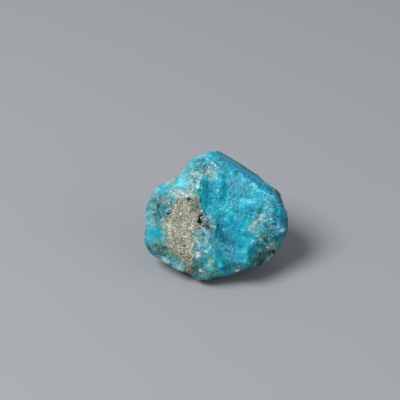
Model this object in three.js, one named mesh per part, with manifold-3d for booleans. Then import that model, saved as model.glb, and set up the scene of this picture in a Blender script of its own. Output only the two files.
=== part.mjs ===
// A rough turquoise nugget, about 30 mm across, with a patch of sugary tan matrix grown into it.
// The stone is one solid. It is described as seen by someone looking at its show face:
// "across" runs to the right, "up" runs up the face and "out" comes towards the viewer, all in millimetres
// from the middle of the stone. The finished stone is then tipped to the way it rests, +Z up.

import * as THREE from "three";
import { ImprovedNoise } from "three/addons/math/ImprovedNoise.js";
import { mergeVertices } from "three/addons/utils/BufferGeometryUtils.js";
import Module from "manifold-3d";

// Driving dimensions
const restLean = 55; // degrees that the show face is tipped up from lying flat on its back
const restHeight = 10.1; // from the middle of the stone down to what it rests on
const edgeSharpness = 44; // higher leaves less rounding where two broken faces meet
const roughHeight = 0.5; // general unevenness of the faces
const roughWavelength = 5.0; // from one bump to the next, before finer ones are added
const roughOctaves = 3; // each finer wave is half as long and half as high as the one before
const roughShift = [7.1, 3.7, 11.3]; // which part of the endless noise this stone has
const ledgeFoot = 1.1; // across the slope from the top of a ledge down to its foot
const meshSteps = 20; // cuts along each edge of the starting icosahedron

// Broken faces.
// bearing: degrees round the show face, counter-clockwise from the right.
// tilt: degrees towards the viewer, or away from the viewer if negative.
// reach: mm from the middle of the stone.
// rough: share of the stone's general roughness, 1 where it isn't given.
const brokenFaces = [
  { name: "broad blue face", bearing: 20, tilt: 80, reach: 7.9 },
  { name: "matrix face", bearing: 185, tilt: 62, reach: 8.3 },
  { name: "smooth bevel", bearing: 57, tilt: 10, reach: 12.2, rough: 0.12 },
  { name: "upper left face", bearing: 127, tilt: 40, reach: 11.3 },
  { name: "left face", bearing: 165, tilt: 34, reach: 12.9 },
  { name: "lower left face", bearing: 240, tilt: 42, reach: 12.1 },
  { name: "lower front face", bearing: 280, tilt: 42, reach: 12.2 },
  { name: "dark lower right face", bearing: 322, tilt: 26, reach: 13.5 },
  { name: "right face", bearing: 5, tilt: 36, reach: 13.9 },

  { name: "right upper side", bearing: 14.5, tilt: -5, reach: 14.5 },
  { name: "crown", bearing: 94, tilt: 4, reach: 14.2 },
  { name: "left of the crown", bearing: 116, tilt: 0, reach: 13.35 },
  { name: "upper left side", bearing: 127, tilt: -10, reach: 12.1 },
  { name: "left shoulder", bearing: 154, tilt: -4, reach: 13.65 },
  { name: "left side", bearing: 172, tilt: 2, reach: 14.5 },
  { name: "left lower side", bearing: 204, tilt: -4, reach: 15.15 },
  { name: "lower left corner", bearing: 222, tilt: 0, reach: 14.7 },
  { name: "lower left side", bearing: 240, tilt: -4, reach: 12.85 },
  { name: "foot tip", bearing: 262, tilt: 4, reach: 12.9 },
  { name: "foot side", bearing: 286, tilt: 0, reach: 12.3 },
  { name: "lower right side", bearing: 310, tilt: -8, reach: 13.35 },
  { name: "right lower side", bearing: 345, tilt: -4, reach: 15.2 },

  { name: "back", bearing: 80, tilt: -68, reach: 9.2 },
  { name: "back crown", bearing: 100, tilt: -24, reach: 12.9 },
  { name: "back above the bevel", bearing: 57, tilt: -32, reach: 11.4 },
  { name: "back right", bearing: 12, tilt: -45, reach: 11.6 },
  { name: "back left", bearing: 160, tilt: -42, reach: 11.9 },
  { name: "back lower right", bearing: 322, tilt: -40, reach: 12.2 },
  { name: "back lower left", bearing: 213, tilt: -35, reach: 12.6 },
  { name: "underside heel", bearing: 285, tilt: -70, reach: 9.8 },
  { name: "left of the resting spot", bearing: 256, tilt: -40, reach: 10.35 },
  { name: "right of the resting spot", bearing: 284, tilt: -32, reach: 10.45 },
];

// Hollows and lumps. at and size are [across, up, out]. rise is mm out of the surface, negative for a hollow.
const hollowsAndLumps = [
  { name: "shoulder notch", at: [-7.6, 8.9, 2.0], size: [2.1, 1.9, 6.0], rise: -1.1 },
  { name: "crown knob", at: [-5.0, 11.9, 2.0], size: [1.2, 1.2, 3.5], rise: 0.4 },
  { name: "upper left lump", at: [-11.0, 6.6, 3.0], size: [1.6, 1.4, 2.0], rise: 0.3 },
  { name: "left hollow", at: [-11.3, 2.2, 4.0], size: [2.0, 2.6, 3.0], rise: -0.5 },
  { name: "left nick", at: [-14.6, -2.0, 0.5], size: [1.4, 1.3, 3.0], rise: -0.5 },
  { name: "hollow under the ridge", at: [1.6, -2.9, 8.0], size: [2.2, 2.4, 3.0], rise: -0.9 },
  { name: "swell of the blue face", at: [6.0, 3.8, 7.0], size: [3.4, 2.6, 3.0], rise: 0.45 },
  { name: "flute rib", at: [1.1, 5.6, 8.0], size: [0.7, 3.2, 3.0], rise: 0.35 },
  { name: "flute groove", at: [2.6, 6.2, 8.0], size: [0.7, 2.8, 3.0], rise: -0.3 },
  { name: "lower swell", at: [5.4, -6.6, 7.0], size: [1.8, 2.6, 3.0], rise: 0.55 },
  { name: "lower dip", at: [2.6, -8.6, 6.4], size: [1.3, 1.6, 3.0], rise: -0.3 },
  { name: "lower left knob", at: [-7.6, -8.8, 3.4], size: [1.2, 1.2, 2.0], rise: 0.4 },
  { name: "foot knob", at: [3.6, -11.4, 3.0], size: [1.8, 1.3, 2.4], rise: 0.2 },
  { name: "right lump", at: [13.2, -2.6, 3.6], size: [1.6, 1.8, 2.0], rise: 0.35 },
  { name: "dark vug", at: [-3.3, -0.3, 8.0], size: [0.7, 1.2, 2.0], rise: -1.1 },
  { name: "slit vug", at: [-1.5, -1.9, 8.0], size: [1.2, 0.8, 2.0], rise: -0.8 },
  { name: "ridge vug", at: [-5.2, 4.1, 7.0], size: [0.6, 0.7, 2.0], rise: -0.6 },
  { name: "back hollow", at: [-4.0, 1.5, -8.6], size: [4.0, 3.0, 3.0], rise: -0.9 },
  { name: "back lump", at: [5.0, 3.0, -8.0], size: [3.2, 2.6, 3.0], rise: 0.5 },
];

// Ledges, seen from outside with start below end, each [across, up, out].
// The surface drops by drop mm to the right of the line from start to end, and comes back over run mm.
const ledges = [
  { name: "ridge step", start: [-2.4, 1.2, 8.0], end: [-3.3, 9.4, 7.4], drop: 1.0, run: 4.5 },
  { name: "back step", start: [2.6, -5.0, -8.8], end: [-1.2, 6.0, -7.0], drop: 0.8, run: 5.0 },
  { name: "right step", start: [12.0, -6.4, -3.0], end: [12.6, 3.0, -2.0], drop: 0.6, run: 3.0 },
  { name: "left step", start: [-12.6, 4.6, -3.0], end: [-12.4, -5.6, -2.4], drop: 0.6, run: 3.0 },
];

const deg = THREE.MathUtils.degToRad;
const smooth = THREE.MathUtils.smoothstep;
const noise = new ImprovedNoise();

// The outward unit normal of a face with this bearing and tilt.
function faceNormal({ bearing, tilt }) {
  return new THREE.Vector3(
    Math.cos(deg(tilt)) * Math.cos(deg(bearing)),
    Math.cos(deg(tilt)) * Math.sin(deg(bearing)),
    Math.sin(deg(tilt)),
  );
}

const faces = brokenFaces.map((face) => ({
  normal: faceNormal(face),
  reach: face.reach,
  rough: face.rough ?? 1,
}));

// The broken surface along a direction: how far out it is, and how rough.
// The nearest face sets both, with a soft change between faces.
function brokenSurface(direction) {
  let sum = 0;
  let roughSum = 0;
  for (const { normal, reach, rough } of faces) {
    const facing = normal.dot(direction);
    if (facing <= 0) continue;
    const share = (facing / reach) ** edgeSharpness;
    sum += share;
    roughSum += share * rough;
  }
  return { radius: sum ** (-1 / edgeSharpness), rough: roughSum / sum };
}

// The general unevenness at a point, with finer and finer waves added.
function roughnessAt(point) {
  const [shiftX, shiftY, shiftZ] = roughShift;
  let height = 0;
  for (let octave = 0; octave < roughOctaves; octave++) {
    const scale = 2 ** octave / roughWavelength;
    const wave = noise.noise(point.x * scale + shiftX, point.y * scale + shiftY, point.z * scale + shiftZ);
    height += (roughHeight * wave) / 2 ** octave;
  }
  return height;
}

function hollowsAndLumpsAt(point) {
  let rise = 0;
  for (const form of hollowsAndLumps) {
    const away =
      ((point.x - form.at[0]) / form.size[0]) ** 2 +
      ((point.y - form.at[1]) / form.size[1]) ** 2 +
      ((point.z - form.at[2]) / form.size[2]) ** 2;
    rise += form.rise * Math.exp(-away);
  }
  return rise;
}

function ledgesAt(point) {
  let rise = 0;
  for (const ledge of ledges) {
    const start = new THREE.Vector3(...ledge.start);
    const along = new THREE.Vector3(...ledge.end).sub(start);
    const outward = start.clone().addScaledVector(along, 0.5).normalize();
    const length = along.length();
    along.normalize();
    const right = new THREE.Vector3().crossVectors(along, outward).normalize();
    const from = point.clone().sub(start);
    const past = from.dot(right);
    const share = from.dot(along) / length;
    const height = point.dot(outward);
    if (past < 0 || height < 0) continue;
    const withinLine = smooth(share, -0.15, 0.2) * (1 - smooth(share, 0.8, 1.15));
    const onThisSide = smooth(height, 2, 5);
    const downSlope = smooth(past, 0, ledgeFoot) * Math.exp(-past / ledge.run);
    rise -= ledge.drop * withinLine * onThisSide * downSlope;
  }
  return rise;
}

// The stone's surface in the show face's frame: a fine sphere's points are moved out to the broken surface.
function stoneSurface() {
  const sphere = new THREE.IcosahedronGeometry(1, meshSteps);
  sphere.deleteAttribute("normal");
  sphere.deleteAttribute("uv");
  const surface = mergeVertices(sphere, 1e-5);
  const position = surface.getAttribute("position");
  const point = new THREE.Vector3();
  for (let i = 0; i < position.count; i++) {
    const direction = new THREE.Vector3().fromBufferAttribute(position, i).normalize();
    const { radius, rough } = brokenSurface(direction);
    point.copy(direction).multiplyScalar(radius);
    const rise = rough * roughnessAt(point) + hollowsAndLumpsAt(point) + ledgesAt(point);
    point.addScaledVector(direction, rise);
    position.setXYZ(i, point.x, point.y, point.z);
  }
  return surface;
}

const wasm = await Module();
wasm.setup();

function solidOf(geometry) {
  const bare = geometry.clone();
  bare.deleteAttribute("normal");
  bare.deleteAttribute("uv");
  const merged = mergeVertices(bare, 1e-5);
  return new wasm.Manifold(
    new wasm.Mesh({
      numProp: 3,
      vertProperties: new Float32Array(merged.getAttribute("position").array),
      triVerts: new Uint32Array(merged.index.array),
    }),
  );
}

function geometryOf(solid) {
  const mesh = solid.getMesh();
  const geometry = new THREE.BufferGeometry();
  geometry.setAttribute("position", new THREE.BufferAttribute(new Float32Array(mesh.vertProperties), 3));
  geometry.setIndex(new THREE.BufferAttribute(new Uint32Array(mesh.triVerts), 1));
  geometry.computeVertexNormals();
  return geometry;
}

// The stone as it rests: tipped back, with the small flat spot that it rests on, and centred over the origin.
function restingStone() {
  const tipped = stoneSurface();
  tipped.rotateX(deg(restLean));
  tipped.translate(0, 0, restHeight);
  const below = new THREE.BoxGeometry(100, 100, 40);
  below.translate(0, 0, -20);
  const geometry = geometryOf(solidOf(tipped).subtract(solidOf(below)));
  geometry.computeBoundingBox();
  const middle = geometry.boundingBox.getCenter(new THREE.Vector3());
  return geometry.translate(-middle.x, -middle.y, 0);
}

const turquoise = new THREE.MeshStandardMaterial({ color: "#2f9fb9", roughness: 0.55, metalness: 0 });
const nugget = new THREE.Mesh(restingStone(), turquoise);
nugget.name = "turquoise_nugget";

const specimen = new THREE.Group();
specimen.add(nugget);

export default specimen;
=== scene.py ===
# A rough turquoise nugget: broken blue faces, a patch of sugary tan matrix and the small crystals on them.
# Lengths in the dictionaries are millimetres. "Across", "up" and "out" are measured from the middle of the
# stone, for someone who looks straight at its show face: to the right, up the face and towards the viewer.
import math
from itertools import combinations

import bpy
import numpy as np
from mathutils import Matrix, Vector
from mathutils.bvhtree import BVHTree


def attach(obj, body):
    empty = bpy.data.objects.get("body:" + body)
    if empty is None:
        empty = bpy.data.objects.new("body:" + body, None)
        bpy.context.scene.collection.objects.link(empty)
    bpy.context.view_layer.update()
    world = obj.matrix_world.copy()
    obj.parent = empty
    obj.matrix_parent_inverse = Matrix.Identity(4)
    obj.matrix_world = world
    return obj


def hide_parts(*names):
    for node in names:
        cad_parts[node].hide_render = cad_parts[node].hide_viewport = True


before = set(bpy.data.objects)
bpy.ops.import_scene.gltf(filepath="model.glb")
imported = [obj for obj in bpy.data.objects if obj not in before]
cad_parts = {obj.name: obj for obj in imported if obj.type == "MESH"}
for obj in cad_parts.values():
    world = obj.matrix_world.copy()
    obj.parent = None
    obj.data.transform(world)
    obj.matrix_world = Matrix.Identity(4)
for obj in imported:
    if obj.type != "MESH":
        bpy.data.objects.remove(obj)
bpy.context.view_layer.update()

perMetre = 1000  # millimetres in a metre
mm = 1 / perMetre
stoneMiddle = (-0.18, 0.49, 10.1)  # the middle of the stone in the part's own frame

cameraLook = {
    "elevation": 35,  # degrees above the horizon
    "lens": 135,
    "sensor": 36,
    "seenWidth": 84,  # width of the picture at the stone's middle
    "aim": (-3.0, 3.8),  # the picture's middle, across and up
    "clip": (0.01, 20),  # metres
}


# A linear colour from an sRGB hex one, by the sRGB standard's own numbers.
def lin(hexColour):
    parts = [int(hexColour[i : i + 2], 16) / 255 for i in (1, 3, 5)]
    return np.array([p / 12.92 if p <= 0.04045 else ((p + 0.055) / 1.055) ** 2.4 for p in parts])


tip = math.radians(cameraLook["elevation"])
across = np.array([1, 0, 0.0])
up = np.array([0, math.sin(tip), math.cos(tip)])
out = np.array([0, -math.cos(tip), math.sin(tip)])
faceAxes = np.array([across, up, out])
viewDistance = cameraLook["seenWidth"] * cameraLook["lens"] / cameraLook["sensor"]


# From the part's own frame to across, up and out.
def toFace(partPoints):
    return (partPoints - np.array(stoneMiddle)) @ faceAxes.T


def toPart(facePoints):
    return facePoints @ faceAxes + np.array(stoneMiddle)


def addCamera():
    data = bpy.data.cameras.new("camera")
    data.lens = cameraLook["lens"]
    data.sensor_width = cameraLook["sensor"]
    data.clip_start, data.clip_end = cameraLook["clip"]
    camera = bpy.data.objects.new("camera", data)
    bpy.context.collection.objects.link(camera)
    place = toPart(np.array([[*cameraLook["aim"], viewDistance]]))[0]
    camera.location = Vector(place / perMetre)
    camera.rotation_euler = (math.radians(90) - tip, 0, 0)
    bpy.context.scene.camera = camera


addCamera()
print("camera in place")

rng = np.random.default_rng(20261128)


# A soft step from 0 at low to 1 at high. It falls where low is the larger of the two.
def smooth(value, low, high):
    t = np.clip((value - low) / (high - low), 0, 1)
    return t * t * (3 - 2 * t)


# A whole random number for each cell of a grid, the same in each run. The large numbers only mix the bits.
def scrambled(grid, seed):
    x, y, z = (grid[..., axis].astype(np.uint32) for axis in range(3))
    number = x * np.uint32(73856093) ^ y * np.uint32(19349663) ^ z * np.uint32(83492791)
    number ^= np.uint32(seed * 2654435761 % 2**32)
    for shift, factor in ((16, 2246822519), (13, 3266489917), (16, 668265263)):
        number ^= number >> np.uint32(shift)
        number = number * np.uint32(factor)
    return number ^ (number >> np.uint32(15))


# A share between 0 and 1 out of some of a number's bits.
def bitShare(number, first, count):
    most = 2**count - 1
    return (number >> first & most) / most


# Smooth random heights between about -1 and 1 that rise and fall over this length. The seed picks which.
def waves(points, length, seed):
    scaled = points / length
    base = np.floor(scaled)
    within = scaled - base
    ease = within * within * within * (within * (within * 6 - 15) + 10)
    total = np.zeros(len(points))
    for corner in np.ndindex(2, 2, 2):
        corner = np.array(corner)
        number = scrambled((base + corner).astype(np.int64), seed)
        turn = bitShare(number, 0, 10) * 2 * np.pi
        lift = bitShare(number, 10, 10) * 2 - 1
        flat = np.sqrt(np.maximum(1 - lift**2, 0))
        away = within - corner
        height = away[:, 0] * flat * np.cos(turn) + away[:, 1] * flat * np.sin(turn) + away[:, 2] * lift
        total += height * np.prod(np.where(corner, ease, 1 - ease), axis=1)
    return total * 1.6  # brings the heights to about 1


# Grains: the distance to the nearest of many random points, that point's own share between 0 and 1, and the
# height of its own tilted plane.
def cells(points, size, seed):
    scaled = points / size
    base = np.floor(scaled)
    nearest = np.full(len(points), np.inf)
    share = np.zeros(len(points))
    plane = np.zeros(len(points))
    for corner in np.ndindex(3, 3, 3):
        cell = base + np.array(corner) - 1
        number = scrambled(cell.astype(np.int64), seed)
        own = np.stack([bitShare(number, first, 10) for first in (0, 10, 20)], axis=1)
        away = scaled - cell - own
        distance = np.linalg.norm(away, axis=1)
        nearer = distance < nearest
        tilt = np.stack([bitShare(number, first, 9) for first in (5, 13, 22)], axis=1) * 2 - 1
        plane = np.where(nearer, (away * tilt).sum(1), plane)
        share = np.where(nearer, bitShare(number, 7, 12), share)
        nearest = np.where(nearer, distance, nearest)
    return nearest, share, plane * size


# The fine surface

surfaceLook = {
    "cuts": 98,  # along each edge of the starting icosahedron
    "smoothing": 9,  # rounds that take away the facets of the plain solid
    "lumps": ((2.6, 0.15), (1.2, 0.07), (0.5, 0.035)),  # (length, height) of the unevenness of the blue stone
    "planes": ((2.6, 0.05), (0.9, 0.08), (0.45, 0.13)),  # (size, slope) of the little broken faces
    "grit": ((0.75, 0.09), (0.36, 0.08)),  # (size, height) of the matrix's grains
    "wobble": ((1.3, 0.28), (0.45, 0.16)),  # (length, shift) of the uneven edges of pits and patches
}

# The smooth face at the upper right
bevel = {
    "bearing": 58.6,  # degrees
    "tilt": 10,
    "reach": 12.2,  # from the middle
    "fill": 0.32,  # how far the stone beside it is filled out, so that its edge is crisp
    "fillDepth": 0.5,
}

# Where the outline swells or draws in a little beyond the plain solid: bearing, width in degrees, mm
swells = (
    (5, 8, 0.3), (33, 9, -0.35), (79, 5, -0.22), (91, 4, -0.25), (97, 3, 0.1), (104, 4, -0.2),
    (111, 3, 0.25), (117, 4, -0.15), (128, 6, -0.35), (147, 8, -0.6), (156, 4, 0.4), (165, 6, 0.1),
    (172, 6, 0.25), (186, 6, -0.25), (194, 4, -0.2), (207, 7, 0.48), (220, 4, 0.18), (232, 5, 0.18),
    (246, 7, -0.38), (254, 5, 0.35), (272, 6, -0.12), (290, 9, -0.3), (301, 4, 0.3), (316, 4, 0.3),
    (325, 6, 0.3), (340, 4, -0.25),
)

# Small ledges on the show face, each a line from its start to its end: the surface drops to the right of it.
fineLedges = {
    "edge of the ridge": {
        "line": ((-1.2, -0.6), (-2.0, 0.9), (-2.7, 2.4), (-3.1, 4.2), (-3.5, 5.6), (-3.1, 6.8), (-2.9, 8.2)),
        "drop": 0.66,
        "foot": 0.26,
        "run": 1.6,
    },
    "edge of the hollow": {
        "line": ((0.4, -4.6), (0.2, -3.0), (0.6, -1.6), (0.9, -0.9)),
        "drop": 0.35,
        "foot": 0.3,
        "run": 1.4,
    },
    "right edge of the lower column": {
        "line": ((7.2, -10.2), (7.4, -8.6), (7.3, -7.2), (8.0, -6.0), (9.2, -5.0)),
        "drop": 0.45,
        "foot": 0.3,
        "run": 2.0,
    },
}

# Pits in the show face: where, half length and half width, turn in degrees, depth
pits = {
    "dark vug": ((-2.95, -0.6), (0.5, 0.75), 10, 0.6),
    "vug's upper end": ((-2.75, 0.6), (0.45, 0.35), 30, 0.3),
    "slit vug": ((-1.55, -1.85), (0.9, 0.28), -14, 0.4),
    "vug at the matrix's top": ((-5.25, 3.95), (0.5, 0.38), 25, 0.25),
    "pit at the left tip of the matrix": ((-9.6, 0.95), (0.5, 0.2), 0, 0.45),
    "pit at the matrix's foot": ((-10.2, -6.4), (0.6, 0.3), -20, 0.4),
    "foot pit": ((-3.65, -10.6), (0.3, 0.4), 30, 0.4),
    "dark lower right pit": ((12.0, -7.1), (0.8, 0.5), 30, 0.5),
    "pit by the left edge": ((-11.6, 2.4), (0.3, 0.6), 30, 0.35),
}


# A regular body of 12 corners and 20 triangles, and its edges are 2 long before it is scaled.
def icosahedron():
    golden = (1 + 5**0.5) / 2
    tips = [(0, a, b * golden) for a in (-1, 1) for b in (-1, 1)]
    tips = np.array(tips + [(z, x, y) for x, y, z in tips] + [(y, z, x) for x, y, z in tips], float)
    sides = []
    for a, b, c in combinations(range(len(tips)), 3):
        longest = max(np.linalg.norm(tips[i] - tips[j]) for i, j in ((a, b), (b, c), (a, c)))
        if longest < 2.01:
            outward = np.dot(np.cross(tips[b] - tips[a], tips[c] - tips[a]), tips[a]) > 0
            sides.append((a, b, c) if outward else (a, c, b))
    return tips / np.linalg.norm(tips[0]), sides


# Unit directions spread evenly over a sphere, and the triangles between them.
def fineSphere(cuts):
    tips, sides = icosahedron()
    points = []
    triangles = []
    for a, b, c in sides:
        spot = {}
        for i in range(cuts + 1):
            for j in range(cuts + 1 - i):
                spot[i, j] = len(points)
                points.append((tips[a] * (cuts - i - j) + tips[b] * i + tips[c] * j) / cuts)
        for i in range(cuts):
            for j in range(cuts - i):
                triangles.append((spot[i, j], spot[i + 1, j], spot[i, j + 1]))
                if i + j < cuts - 1:
                    triangles.append((spot[i + 1, j], spot[i + 1, j + 1], spot[i, j + 1]))
    points = np.array(points)
    _, kept, merged = np.unique(np.round(points, 6), axis=0, return_index=True, return_inverse=True)
    points = points[kept]
    points /= np.linalg.norm(points, axis=1, keepdims=True)
    return points, merged.reshape(-1)[np.array(triangles)]


# The mean over the neighbours of each point.
def neighbourMean(values, edges, count):
    one, other = edges.T
    total = np.bincount(one, values[other], count) + np.bincount(other, values[one], count)
    return total / (np.bincount(one, minlength=count) + np.bincount(other, minlength=count))


def normalsOf(points, triangles):
    a, b, c = (points[triangles[:, i]] for i in range(3))
    each = np.cross(b - a, c - a)
    sums = [sum(np.bincount(triangles[:, i], each[:, k], len(points)) for i in range(3)) for k in range(3)]
    total = np.stack(sums, 1)
    return total / np.linalg.norm(total, axis=1, keepdims=True)


def directionOf(bearing, tilt):
    b, t = math.radians(bearing), math.radians(tilt)
    return np.array([math.cos(t) * math.cos(b), math.cos(t) * math.sin(b), math.sin(t)])


# Where points show in the picture's plane, in mm across and up.
def seenAt(points):
    aim = np.array(cameraLook["aim"])
    larger = viewDistance / (viewDistance - points[:, 2])
    return (points[:, :2] - aim) * larger[:, None] + aim


# Below 1 inside the ellipse and above 1 outside it.
def inEllipse(seen, at, size, turn):
    c, s = math.cos(math.radians(turn)), math.sin(math.radians(turn))
    x, y = seen[:, 0] - at[0], seen[:, 1] - at[1]
    return np.hypot((x * c + y * s) / size[0], (y * c - x * s) / size[1])


# Distance to a line of points, positive to its right, and how far along it the nearest point is, 0 to 1.
def besideLine(seen, line):
    best = np.full(len(seen), np.inf)
    signed = np.zeros(len(seen))
    share = np.zeros(len(seen))
    line = np.array(line)
    lengths = np.linalg.norm(np.diff(line, axis=0), axis=1)
    start = 0
    for a, b, length in zip(line[:-1], line[1:], lengths):
        along = (b - a) / length
        away = seen - a
        t = np.clip(away @ along, 0, length)
        distance = np.linalg.norm(away - t[:, None] * along, axis=1)
        right = away[:, 0] * along[1] - away[:, 1] * along[0]
        nearer = distance < best
        best = np.where(nearer, distance, best)
        signed = np.where(nearer, np.where(right > 0, distance, -distance), signed)
        share = np.where(nearer, (start + t) / lengths.sum(), share)
        start += length
    return signed, share


# Distance inside a closed outline, negative outside it.
def insideOutline(seen, outline):
    outline = np.array(outline)
    closed = np.vstack([outline, outline[:1]])
    best = np.full(len(seen), np.inf)
    inside = np.zeros(len(seen), bool)
    for a, b in zip(closed[:-1], closed[1:]):
        along = b - a
        away = seen - a
        t = np.clip(away @ along / (along @ along), 0, 1)
        best = np.minimum(best, np.linalg.norm(away - t[:, None] * along, axis=1))
        crosses = (a[1] > seen[:, 1]) != (b[1] > seen[:, 1])
        at = a[0] + (seen[:, 1] - a[1]) / (b[1] - a[1] if b[1] != a[1] else 1) * along[0]
        inside ^= crosses & (seen[:, 0] < at)
    return np.where(inside, best, -best)


# The edge of the tan patch on the show face
matrixOutline = (
    (-4.0, 4.9), (-4.9, 4.5), (-5.6, 3.9), (-6.8, 4.2), (-7.9, 3.9), (-8.5, 3.1), (-8.8, 2.0), (-9.5, 0.8),
    (-10.7, -0.6), (-10.4, -1.6), (-9.8, -2.6), (-9.7, -4.4), (-9.9, -6.2), (-8.8, -6.9), (-8.1, -7.8),
    (-7.2, -8.7), (-5.9, -9.2), (-5.7, -10.6), (-5.2, -11.4), (-4.6, -11.2), (-4.7, -9.6), (-4.3, -8.2),
    (-4.5, -6.6), (-4.1, -5.3), (-4.6, -4.4), (-4.5, -3.2), (-3.4, -2.5), (-2.6, -1.2), (-2.3, 0.2),
    (-2.8, 1.5), (-3.2, 2.6), (-3.5, 3.9),
)


# The fine surface and what lies where on it.
class Stone:
    pass


# The distance from the middle to the plain solid's surface in each direction, with its facets smoothed away.
def smoothRadius(directions, triangles):
    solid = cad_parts["turquoise_nugget"].data
    corners = toFace(np.array([v.co for v in solid.vertices]) * perMetre)
    tree = BVHTree.FromPolygons([Vector(c) for c in corners], [tuple(p.vertices) for p in solid.polygons])
    middle = Vector((0, 0, 0))
    radius = np.array([tree.ray_cast(middle, Vector(d))[3] for d in directions])
    edges = np.vstack([triangles[:, [0, 1]], triangles[:, [1, 2]], triangles[:, [2, 0]]])
    edges = np.unique(np.sort(edges, 1), axis=0)
    for _ in range(surfaceLook["smoothing"]):
        radius = neighbourMean(radius, edges, len(directions))
    return radius


# How far lumps, small broken faces and the matrix's grit stand out of the smooth surface.
def fineHeights(points, matrix, onBevel):
    fine = np.zeros(len(points))
    blue = 1 - matrix
    rough = 1 - 0.93 * onBevel
    for number, (length, height) in enumerate(surfaceLook["lumps"]):
        fine += height * waves(points, length, 41 + number) * rough * (0.5 + 0.5 * blue)
    for number, (size, slope) in enumerate(surfaceLook["planes"]):
        fine += slope * cells(points, size, 61 + number)[2] * rough * (0.4 + 0.6 * blue)
    for number, (size, height) in enumerate(surfaceLook["grit"]):
        nearest, share, _ = cells(points, size, 51 + number)
        fine += height * (0.75 - nearest + 0.5 * (share - 0.5)) * matrix
    return fine


def shapeStone():
    s = Stone()
    directions, s.triangles = fineSphere(surfaceLook["cuts"])
    radius = smoothRadius(directions, s.triangles)

    bearings = np.degrees(np.arctan2(directions[:, 1], directions[:, 0])) % 360
    for bearing, width, swell in swells:
        radius += swell * np.exp(-(((bearings - bearing) / width) ** 2)) * (1 - directions[:, 2] ** 2) ** 2

    facing = directions @ directionOf(bevel["bearing"], bevel["tilt"])
    plane = bevel["reach"] / np.maximum(facing, 0.2)
    below = plane - radius
    filled = radius + bevel["fill"] * np.exp(-((np.maximum(below, 0) / bevel["fillDepth"]) ** 2))
    radius = np.minimum(filled, plane)
    s.onBevel = smooth(below, 0.55, 0.05) * (facing > 0.6)

    points = directions * radius[:, None]
    s.broadNormals = normalsOf(points, s.triangles)
    seen = seenAt(points)
    s.front = smooth(s.broadNormals[:, 2], -0.35, -0.05) * smooth(points[:, 2], -3.0, -1.0)
    (long, longShift), (short, shortShift) = surfaceLook["wobble"]
    shifts = [waves(points, long, k) * longShift + waves(points, short, k + 1) * shortShift for k in (11, 13)]
    s.wobble = np.stack(shifts, 1)
    ragged = 0.3 * waves(points, 0.8, 17) + 0.35 * (cells(points, 0.4, 18)[1] - 0.5)
    s.matrix = smooth(insideOutline(seen + s.wobble, matrixOutline) + ragged, -0.25, 0.3) * s.front

    # Where the matrix comes through again on the sides and the back
    seams = waves(points, 6.5, 31) + 0.45 * waves(points, 2.2, 32) + 0.2 * waves(points, 0.8, 33)
    s.elsewhere = smooth(points[:, 2], 0.5, -2.0)
    s.matrix = np.maximum(s.matrix, smooth(seams, 0.52, 0.66) * s.elsewhere * (1 - s.onBevel))

    s.fine = fineHeights(points, s.matrix, s.onBevel)
    s.rise = s.fine.copy()
    for ledge in fineLedges.values():
        beside, share = besideLine(seen + 0.6 * s.wobble, ledge["line"])
        ends = smooth(share, 0.0, 0.12) * smooth(share, 1.0, 0.9)
        fall = smooth(beside, -0.02, ledge["foot"]) * np.exp(-np.maximum(beside, 0) / ledge["run"])
        brow = np.exp(-((np.minimum(beside, 0) / 0.8) ** 2)) * (beside < 0)
        s.rise += (0.25 * ledge["drop"] * brow - ledge["drop"] * fall) * ends * s.front
    for at, size, turn, deep in pits.values():
        s.rise -= deep * smooth(inEllipse(seen + 1.1 * s.wobble, at, size, turn), 1.35, 0.4) * s.front

    s.partPoints = toPart(points + s.broadNormals * s.rise[:, None])
    s.partPoints[:, 2] = np.maximum(s.partPoints[:, 2], 0)
    s.points = toFace(s.partPoints)
    s.normals = normalsOf(s.points, s.triangles)
    s.seen = seenAt(s.points)
    return s


stone = shapeStone()
print("surface shaped:", len(stone.points), "points")

# The light

studioLook = {
    "floor": "#9a9ca0",
    "floorHalf": 3,  # metres
    "floorDrop": 0.00002,  # metres, so that it doesn't lie in the flat spot's plane
    "keyFrom": (-0.5, 0.5, 0.7),  # across, up and out
    "keyPower": 5.2,
    "keySize": 0.35,
    "fillFrom": (0.9, 0.1, 0.6),
    "fillPower": 1.2,
    "fillSize": 0.6,
    "lightDistance": 0.7,
    "sky": "#c6cad2",
    "skyStrength": 0.42,
}


# About how much light a surface gets that faces this way, 1 where a white one looks white.
def lightOn(normals):
    key, fill = (np.array(studioLook[name]) for name in ("keyFrom", "fillFrom"))
    key, fill = key / np.linalg.norm(key), fill / np.linalg.norm(fill)
    area = math.pi**2 * studioLook["lightDistance"] ** 2
    straightUp = faceAxes[:, 2]
    sky = studioLook["skyStrength"] * np.mean(lin(studioLook["sky"]))
    keyLight = studioLook["keyPower"] / area
    fromFloor = np.mean(lin(studioLook["floor"])) * (keyLight * key @ straightUp + sky)
    high = (1 + normals @ straightUp) / 2
    light = keyLight * np.clip(normals @ key, 0, 1) + sky * high + fromFloor * (1 - high)
    return light + studioLook["fillPower"] / area * np.clip(normals @ fill, 0, 1)


# The colours

colours = {
    "turquoise": "#37a9bb",
    "deep turquoise": "#17849c",
    "pale turquoise": "#5cc6de",
    "green turquoise": "#3c8f8e",
    "matrix": "#a4a596",
    "matrix with painted shade in hollows": "#7f7e6c",
    "matrix on high grains": "#c9c8b8",
    "limonite": "#8d7550",
    "kaolin": "#b9d0cc",
    "chalky specks and painted glints": "#c2ecf4",
    "weathered edge": "#1b4a5b",
    "weathered brown": "#4d5048",
}

grainLook = {
    "size": 0.33,
    "contrast": 0.35,
    "speckSize": 0.27,
    "white": 0.16,  # share of the grains that are whiter than the rest
    "dark": 0.07,
    "darkness": 0.33,
    "blotches": 0.2,
    "fleckSizes": ((0.42, 94), (0.75, 95)),  # (size, which random grains)
    "fleckShare": 0.52,
    "fleckDarkness": 0.4,
}

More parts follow.
